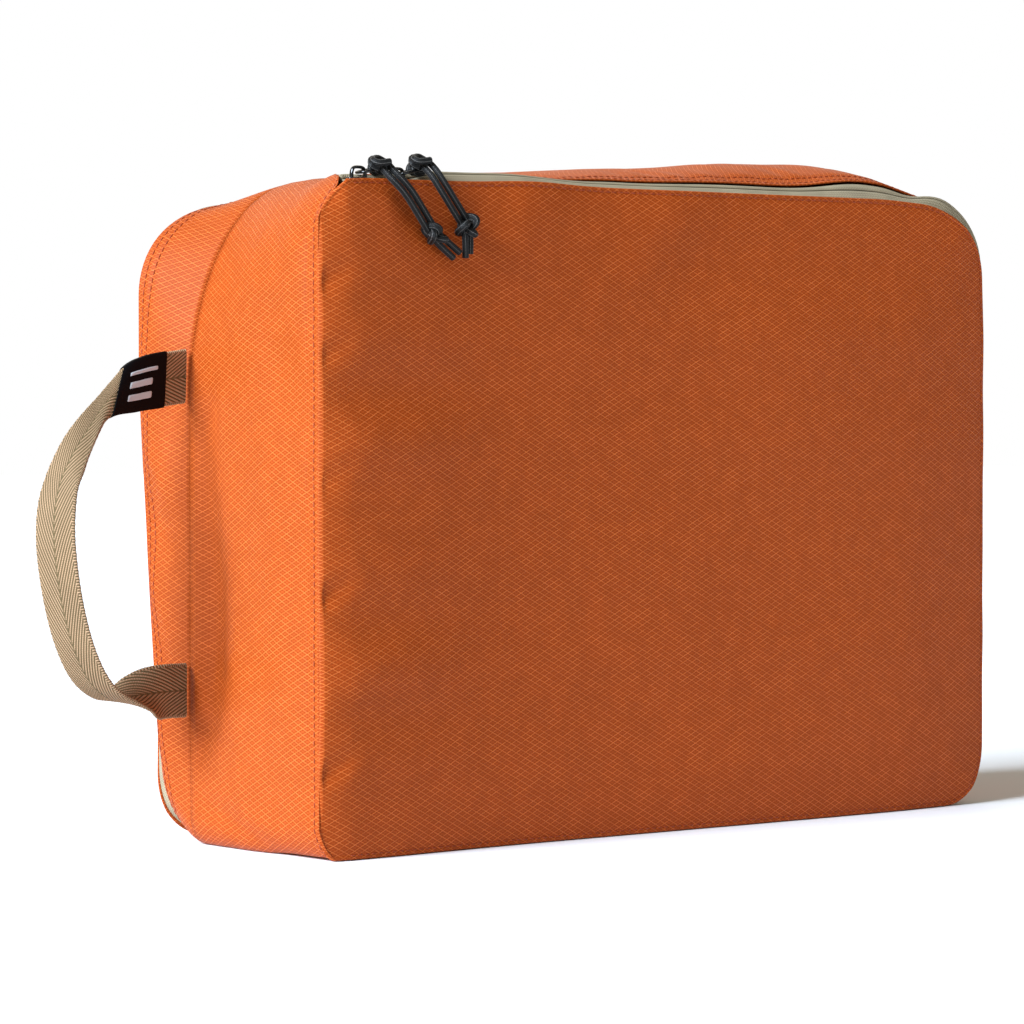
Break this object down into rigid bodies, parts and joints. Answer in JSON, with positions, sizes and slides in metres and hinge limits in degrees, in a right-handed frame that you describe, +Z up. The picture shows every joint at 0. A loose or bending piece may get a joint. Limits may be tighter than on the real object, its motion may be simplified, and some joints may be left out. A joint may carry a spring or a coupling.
{
  "type": "packing cube",
  "caption": "Soft fabric packing cube with two zipped compartments back to back, a webbing carry handle on one end and knotted cord zipper pulls.",
  "frame": {"origin": "middle of the base, midway between the two flaps and between the body's ends", "axes": "+Z up, +X along the body away from the handle, +Y from the front flap to the back flap"},
  "size_m": [0.4332, 0.1276, 0.266],
  "materials": {
    "shell_fabric": "orange diamond ripstop nylon with a slight sheen",
    "divider_fabric": "plain thin orange nylon",
    "binding_tape": "folded woven seam tape",
    "zipper_tape": "khaki herringbone zipper tape",
    "zipper_coil": "khaki nylon coil",
    "webbing": "khaki herringbone webbing",
    "label": "black woven satin label",
    "slider_metal": "gloss black lacquered zinc",
    "pull_cord": "black braided cord"
  },
  "bodies": {
    "bag": {"front_gusset": "shell_fabric", "back_gusset": "shell_fabric", "divider": "divider_fabric", "mid_seam_binding": "binding_tape", "handle_ends": "webbing", "front_hinge_binding": "binding_tape", "back_hinge_binding": "binding_tape", "front_gusset_tape": "zipper_tape", "back_gusset_tape": "zipper_tape", "front_gusset_coil": "zipper_coil", "back_gusset_coil": "zipper_coil"},
    "handle": {"handle_webbing": "webbing", "size_label": "label"},
    "front_flap": {"front_panel": "shell_fabric", "front_flap_tape": "zipper_tape", "front_flap_coil": "zipper_coil"},
    "front_runner_a": {"front_slider_a": "slider_metal", "front_puller_a": "slider_metal"},
    "front_pull_a": {"front_cord_a_left": "pull_cord", "front_cord_a_right": "pull_cord", "front_knot_a": "pull_cord"},
    "front_runner_b": {"front_slider_b": "slider_metal", "front_puller_b": "slider_metal"},
    "front_pull_b": {"front_cord_b_left": "pull_cord", "front_cord_b_right": "pull_cord", "front_knot_b": "pull_cord"},
    "back_flap": {"back_panel": "shell_fabric", "back_flap_tape": "zipper_tape", "back_flap_coil": "zipper_coil"},
    "back_runner_a": {"back_slider_a": "slider_metal", "back_puller_a": "slider_metal"},
    "back_pull_a": {"back_cord_a_left": "pull_cord", "back_cord_a_right": "pull_cord", "back_knot_a": "pull_cord"},
    "back_runner_b": {"back_slider_b": "slider_metal", "back_puller_b": "slider_metal"},
    "back_pull_b": {"back_cord_b_left": "pull_cord", "back_cord_b_right": "pull_cord", "back_knot_b": "pull_cord"}
  },
  "joints": [
    {"name": "front_flap_hinge", "type": "hinge", "parent": "bag", "child": "front_flap", "pos_m": [-0.18, -0.05365, 0.128], "axis": [0, 0, -1], "range_deg": [0, 135]},
    {"name": "front_slider_a_slide", "type": "slide", "parent": "front_flap", "child": "front_runner_a", "axis": [1, 0, 0], "range_m": [0, 0.12]},
    {"name": "front_pull_a_swing", "type": "hinge", "parent": "front_runner_a", "child": "front_pull_a", "pos_m": [-0.1431, -0.05, 0.2626], "axis": [-1, 0, 0], "range_deg": [0, 100]},
    {"name": "front_slider_b_slide", "type": "slide", "parent": "front_runner_a", "child": "front_runner_b", "axis": [1, 0, 0], "range_m": [0, 0.15]},
    {"name": "front_pull_b_swing", "type": "hinge", "parent": "front_runner_b", "child": "front_pull_b", "pos_m": [-0.1241, -0.05, 0.2626], "axis": [-1, 0, 0], "range_deg": [0, 100]},
    {"name": "back_flap_hinge", "type": "hinge", "parent": "bag", "child": "back_flap", "pos_m": [0.18, 0.05365, 0.128], "axis": [0, 0, -1], "range_deg": [0, 135]},
    {"name": "back_slider_a_slide", "type": "slide", "parent": "back_flap", "child": "back_runner_a", "axis": [-1, 0, 0], "range_m": [0, 0.12]},
    {"name": "back_pull_a_swing", "type": "hinge", "parent": "back_runner_a", "child": "back_pull_a", "pos_m": [0.1431, 0.05, 0.2626], "axis": [1, 0, 0], "range_deg": [0, 100]},
    {"name": "back_slider_b_slide", "type": "slide", "parent": "back_runner_a", "child": "back_runner_b", "axis": [-1, 0, 0], "range_m": [0, 0.15]},
    {"name": "back_pull_b_swing", "type": "hinge", "parent": "back_runner_b", "child": "back_pull_b", "pos_m": [0.1241, 0.05, 0.2626], "axis": [1, 0, 0], "range_deg": [0, 100]},
    {"name": "handle_swing", "type": "hinge", "parent": "bag", "child": "handle", "pos_m": [-0.1836, 0.025, 0.121], "axis": [0, 0, 1], "range_deg": [-76, 54]}
  ]
}
